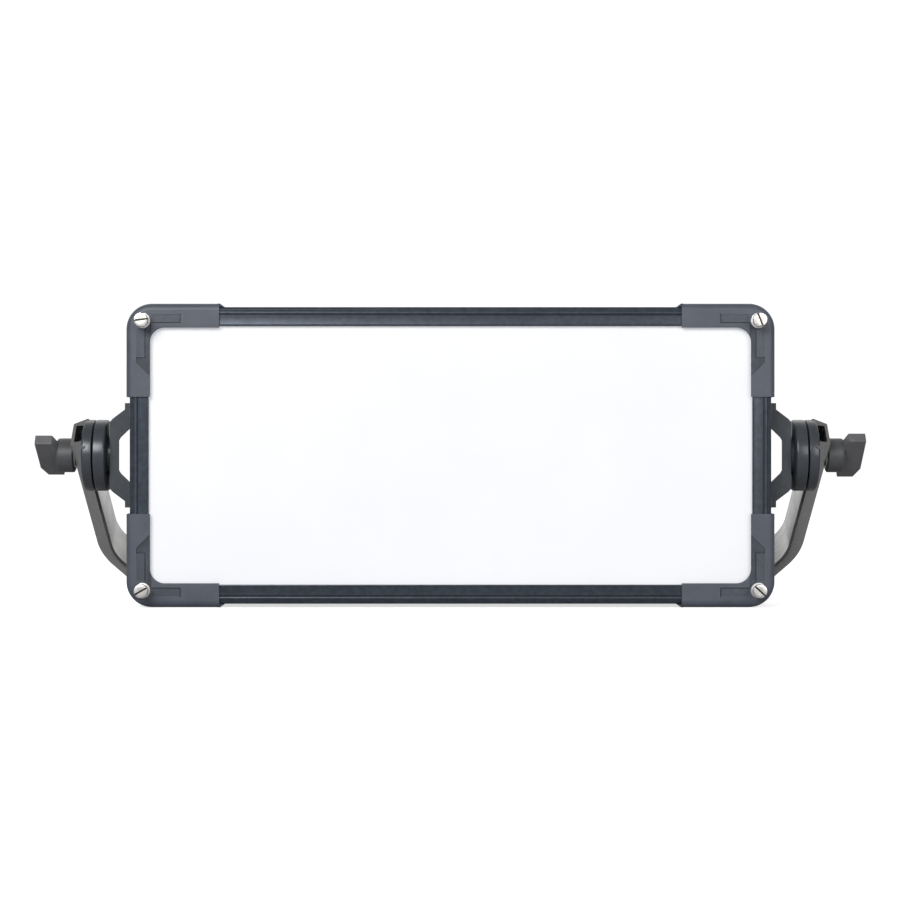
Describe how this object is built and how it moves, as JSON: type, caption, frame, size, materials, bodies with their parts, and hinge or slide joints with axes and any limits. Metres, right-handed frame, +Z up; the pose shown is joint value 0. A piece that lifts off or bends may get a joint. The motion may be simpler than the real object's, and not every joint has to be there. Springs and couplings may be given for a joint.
{
  "type": "led panel light",
  "caption": "Wide studio LED panel light with an opal front, bumper corners and a clamped tilt yoke that hangs it or props it up.",
  "frame": {"origin": "on the floor under the middle of the whole light's bounding box", "axes": "+Z up, the light shines towards -Y, +X runs along the long side to the right as seen from the front"},
  "size_m": [0.8582, 0.2256, 0.309],
  "materials": {
    "rail": "black anodised extrusion, satin",
    "corner": "fine matt texture",
    "nickel": "turned nickel plate",
    "opal": "opal, lit from behind",
    "seal": "matt rubber",
    "reflector": "white reflective coating",
    "led_board": "white solder mask on a metal core",
    "phosphor": "yellow phosphor",
    "thermal_pad": "soft silicone",
    "sink": "plain extruded aluminium",
    "housing": "fine textured powder coat",
    "black_steel": "black oxide",
    "fan": "black moulding",
    "wire": "zinc plate",
    "psu": "plain sheet case",
    "circuit": "green solder mask",
    "panel_face": "matt overlay",
    "display": "gloss window",
    "socket_blue": "blue moulding",
    "socket_black": "black moulding",
    "socket_metal": "plated shell",
    "steel": "zinc plate",
    "bracket": "black satin casting",
    "disc": "black satin casting",
    "friction": "friction lining",
    "yoke": "brushed grey anodising",
    "knob": "dark grey textured moulding",
    "encoder": "black moulding",
    "button": "grey keypad rubber",
    "rocker": "red moulding"
  },
  "bodies": {
    "panel": {"top_rail": "rail", "bottom_rail": "rail", "left_rail": "rail", "right_rail": "rail", "top_left_corner": "corner", "top_right_corner": "corner", "bottom_left_corner": "corner", "bottom_right_corner": "corner", "corner_screws": "nickel", "diffuser": "opal", "diffuser_gasket": "seal", "mixing_chamber": "reflector", "led_board": "led_board", "led_emitters": "phosphor", "thermal_pad": "thermal_pad", "heat_sink": "sink", "housing_shell": "housing", "rear_cover": "housing", "rear_cover_screws": "black_steel", "fan_frames": "fan", "fan_grilles": "wire", "power_supply": "psu", "driver_board": "circuit", "control_board": "circuit", "control_panel": "panel_face", "display_window": "display", "connector_plate": "panel_face", "power_inlet": "socket_blue", "dmx_input": "socket_black", "dmx_output": "socket_black", "network_port": "socket_metal", "usb_port": "socket_metal", "switch_body": "socket_black", "safety_eye": "steel", "left_bracket": "bracket", "right_bracket": "bracket", "bracket_screws": "black_steel", "left_inner_disc": "disc", "right_inner_disc": "disc", "left_stud": "steel", "right_stud": "steel"},
    "yoke": {"yoke_bar": "yoke", "left_yoke_end": "disc", "right_yoke_end": "disc", "left_friction_washer": "friction", "right_friction_washer": "friction", "yoke_end_screws": "black_steel", "yoke_bushing": "steel"},
    "left_impeller": {"left_impeller": "fan"},
    "right_impeller": {"right_impeller": "fan"},
    "intensity_knob": {"intensity_knob": "encoder"},
    "color_knob": {"color_knob": "encoder"},
    "menu_knob": {"menu_knob": "encoder"},
    "select_button": {"select_button": "button"},
    "back_button": {"back_button": "button"},
    "power_rocker": {"power_rocker": "rocker"},
    "left_thrust": {"left_thrust_washer": "steel"},
    "right_thrust": {"right_thrust_washer": "steel"},
    "left_knob": {"left_knob": "knob"},
    "right_knob": {"right_knob": "knob"}
  },
  "joints": [
    {"name": "tilt", "type": "hinge", "parent": "panel", "child": "yoke", "pos_m": [0, -0.03278, 0.1545], "axis": [1, 0, 0], "range_deg": [-133, 137]},
    {"name": "left_knob_travel", "type": "slide", "parent": "panel", "child": "left_thrust", "axis": [-1, 0, 0], "range_m": [0, 0.0023]},
    {"name": "left_knob_turn", "type": "hinge", "parent": "left_thrust", "child": "left_knob", "pos_m": [-0.4, -0.03278, 0.1545], "axis": [-1, 0, 0], "range_deg": [0, 540]},
    {"name": "right_knob_travel", "type": "slide", "parent": "panel", "child": "right_thrust", "axis": [1, 0, 0], "range_m": [0, 0.0023]},
    {"name": "right_knob_turn", "type": "hinge", "parent": "right_thrust", "child": "right_knob", "pos_m": [0.4, -0.03278, 0.1545], "axis": [1, 0, 0], "range_deg": [0, 540]},
    {"name": "left_fan_spin", "type": "hinge", "parent": "panel", "child": "left_impeller", "pos_m": [-0.182, 0.01672, 0.1945], "axis": [0, 1, 0], "continuous": true},
    {"name": "right_fan_spin", "type": "hinge", "parent": "panel", "child": "right_impeller", "pos_m": [0.182, 0.01672, 0.1945], "axis": [0, 1, 0], "continuous": true},
    {"name": "intensity_turn", "type": "hinge", "parent": "panel", "child": "intensity_knob", "pos_m": [0.034, 0.04022, 0.2185], "axis": [0, 1, 0], "continuous": true},
    {"name": "color_turn", "type": "hinge", "parent": "panel", "child": "color_knob", "pos_m": [0.062, 0.04022, 0.1965], "axis": [0, 1, 0], "continuous": true},
    {"name": "menu_turn", "type": "hinge", "parent": "panel", "child": "menu_knob", "pos_m": [0.034, 0.04022, 0.1725], "axis": [0, 1, 0], "continuous": true},
    {"name": "select_press", "type": "slide", "parent": "panel", "child": "select_button", "axis": [0, -1, 0], "range_m": [0, 0.001], "stiffness_N_per_m": 600, "springref_m": -0.001},
    {"name": "back_press", "type": "slide", "parent": "panel", "child": "back_button", "axis": [0, -1, 0], "range_m": [0, 0.001], "stiffness_N_per_m": 600, "springref_m": -0.001},
    {"name": "power_switch_rock", "type": "hinge", "parent": "panel", "child": "power_rocker", "pos_m": [0.105, 0.02822, 0.0925], "axis": [0, 0, 1], "range_deg": [-20, 0]}
  ],
  "couplings": [
    {"joint": "left_knob_travel", "follows": "left_knob_turn", "m_per_rad": 0.00023873},
    {"joint": "right_knob_travel", "follows": "right_knob_turn", "m_per_rad": 0.00023873}
  ]
}
